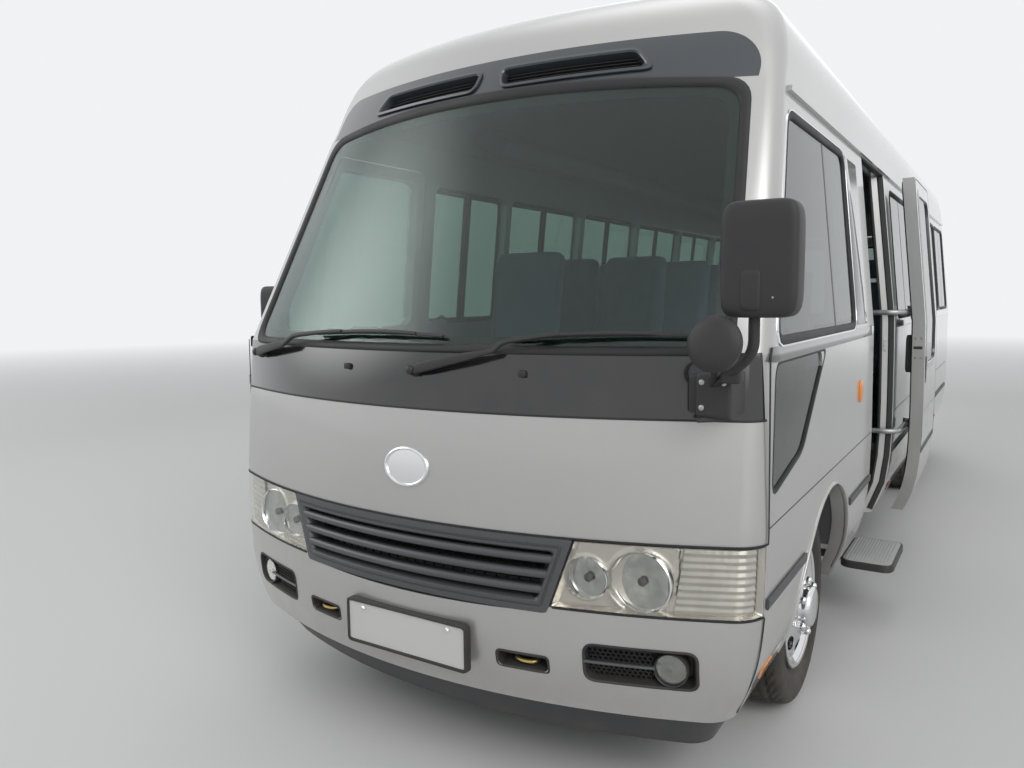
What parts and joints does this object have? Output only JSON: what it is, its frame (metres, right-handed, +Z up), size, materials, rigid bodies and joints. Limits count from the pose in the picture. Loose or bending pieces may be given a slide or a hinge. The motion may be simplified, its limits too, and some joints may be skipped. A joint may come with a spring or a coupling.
{
  "type": "minibus",
  "caption": "Long-body minibus with its entrance door swung open, a sliding entry step, hinged driver's and rear doors, steered front wheels and a seated cabin.",
  "frame": {"origin": "on the ground under the middle of the vehicle", "axes": "+X to the vehicle's left, -Y forward, +Z up"},
  "size_m": [2.345, 7.0418, 2.6349],
  "materials": {
    "silver_paint": "metallic clearcoat",
    "black_gloss": "gloss",
    "grey_plastic": "satin",
    "dark_metal": "satin",
    "engine_metal": "rough",
    "bright_steel": "polished",
    "raw_steel": "satin",
    "clear_glass": "polished",
    "tinted_glass": "polished",
    "lamp_glass": "polished",
    "red_lens": "gloss",
    "tyre": "matte",
    "flap_rubber": "matte",
    "seat_fabric": "woven",
    "plate_face": "satin",
    "floor_vinyl": "satin"
  },
  "bodies": {
    "body": {"chassis_frame": "dark_metal", "floor_pan": "floor_vinyl", "entrance_well": "dark_metal", "side_wall_left": "silver_paint", "side_wall_right": "silver_paint", "roof_panel": "silver_paint", "roof_visor": "black_gloss", "front_panel": "silver_paint", "cowl_band": "black_gloss", "front_bumper": "silver_paint", "bumper_lip": "grey_plastic", "grille": "grey_plastic", "front_lamps": "lamp_glass", "fog_lamps": "lamp_glass", "windshield": "clear_glass", "side_glass": "tinted_glass", "rear_wall": "silver_paint", "rear_bumper": "silver_paint", "rear_lamps": "red_lens", "engine_block": "engine_metal", "fuel_tank": "dark_metal", "exhaust": "raw_steel", "front_suspension": "dark_metal", "rear_suspension": "dark_metal", "dashboard": "grey_plastic", "steering_wheel": "grey_plastic", "seat_cushions": "seat_fabric", "seat_backs": "seat_fabric", "seat_legs": "dark_metal", "wipers": "grey_plastic", "mirrors": "grey_plastic", "number_plate": "plate_face", "mudflaps": "flap_rubber"},
    "driver_door": {"driver_door": "silver_paint", "driver_door_glass": "tinted_glass", "door_mirror": "grey_plastic"},
    "rear_door_left": {"rear_door_left": "silver_paint", "rear_door_left_glass": "tinted_glass"},
    "rear_door_right": {"rear_door_right": "silver_paint", "rear_door_right_glass": "tinted_glass"},
    "door_arms": {"door_arms": "bright_steel"},
    "entrance_door": {"entrance_door": "silver_paint", "entrance_door_glass": "tinted_glass"},
    "entry_step": {"entry_step": "raw_steel"},
    "knuckle_left": {"knuckle_left": "dark_metal"},
    "knuckle_right": {"knuckle_right": "dark_metal"},
    "track_rod": {"track_rod": "dark_metal"},
    "front_wheel_left": {"front_tyre_left": "tyre", "front_rim_left": "bright_steel"},
    "front_wheel_right": {"front_tyre_right": "tyre", "front_rim_right": "bright_steel"},
    "rear_wheel_left": {"rear_tyre_left": "tyre", "rear_rim_left": "bright_steel"},
    "rear_wheel_right": {"rear_tyre_right": "tyre", "rear_rim_right": "bright_steel"}
  },
  "joints": [
    {"name": "steer_left", "type": "hinge", "parent": "body", "child": "knuckle_left", "pos_m": [0.75, -2.31, 0.372], "axis": [0, 0, 1], "range_deg": [-35, 35]},
    {"name": "steer_right", "type": "hinge", "parent": "body", "child": "knuckle_right", "pos_m": [-0.75, -2.31, 0.372], "axis": [0, 0, 1], "range_deg": [-35, 35]},
    {"name": "track_rod_pivot", "type": "hinge", "parent": "knuckle_left", "child": "track_rod", "pos_m": [0.655, -2.14, 0.256], "axis": [0, 0, 1], "range_deg": [-39.65, 39.65]},
    {"name": "front_wheel_left_spin", "type": "hinge", "parent": "knuckle_left", "child": "front_wheel_left", "pos_m": [0.845, -2.31, 0.372], "axis": [1, 0, 0], "continuous": true},
    {"name": "front_wheel_right_spin", "type": "hinge", "parent": "knuckle_right", "child": "front_wheel_right", "pos_m": [-0.845, -2.31, 0.372], "axis": [1, 0, 0], "continuous": true},
    {"name": "rear_wheel_left_spin", "type": "hinge", "parent": "body", "child": "rear_wheel_left", "pos_m": [0.745, 1.625, 0.372], "axis": [1, 0, 0], "continuous": true},
    {"name": "rear_wheel_right_spin", "type": "hinge", "parent": "body", "child": "rear_wheel_right", "pos_m": [-0.745, 1.625, 0.372], "axis": [1, 0, 0], "continuous": true},
    {"name": "driver_door_hinge", "type": "hinge", "parent": "body", "child": "driver_door", "pos_m": [-1.056, -3.145, 1.3], "axis": [0, 0, 1], "range_deg": [0, 70]},
    {"name": "rear_door_left_hinge", "type": "hinge", "parent": "body", "child": "rear_door_left", "pos_m": [0.8, 3.441, 1.4], "axis": [0, 0, -1], "range_deg": [0, 110]},
    {"name": "rear_door_right_hinge", "type": "hinge", "parent": "body", "child": "rear_door_right", "pos_m": [-0.8, 3.441, 1.4], "axis": [0, 0, 1], "range_deg": [0, 110]},
    {"name": "door_arm_swing", "type": "hinge", "parent": "body", "child": "door_arms", "pos_m": [0.813, -0.68, 1.1], "axis": [0, 0, 1], "range_deg": [-128.95, 0]},
    {"name": "entrance_door_pivot", "type": "hinge", "parent": "door_arms", "child": "entrance_door", "pos_m": [1.074, -0.31343, 1.1], "axis": [0, 0, 1], "range_deg": [0, 128.95]},
    {"name": "entry_step_slide", "type": "slide", "parent": "body", "child": "entry_step", "axis": [-1, 0, 0], "range_m": [0, 0.22]}
  ],
  "couplings": [
    {"joint": "steer_right", "follows": "steer_left", "ratio": 1},
    {"joint": "track_rod_pivot", "follows": "steer_left", "ratio": -1.132},
    {"joint": "entrance_door_pivot", "follows": "door_arm_swing", "ratio": -1}
  ]
}
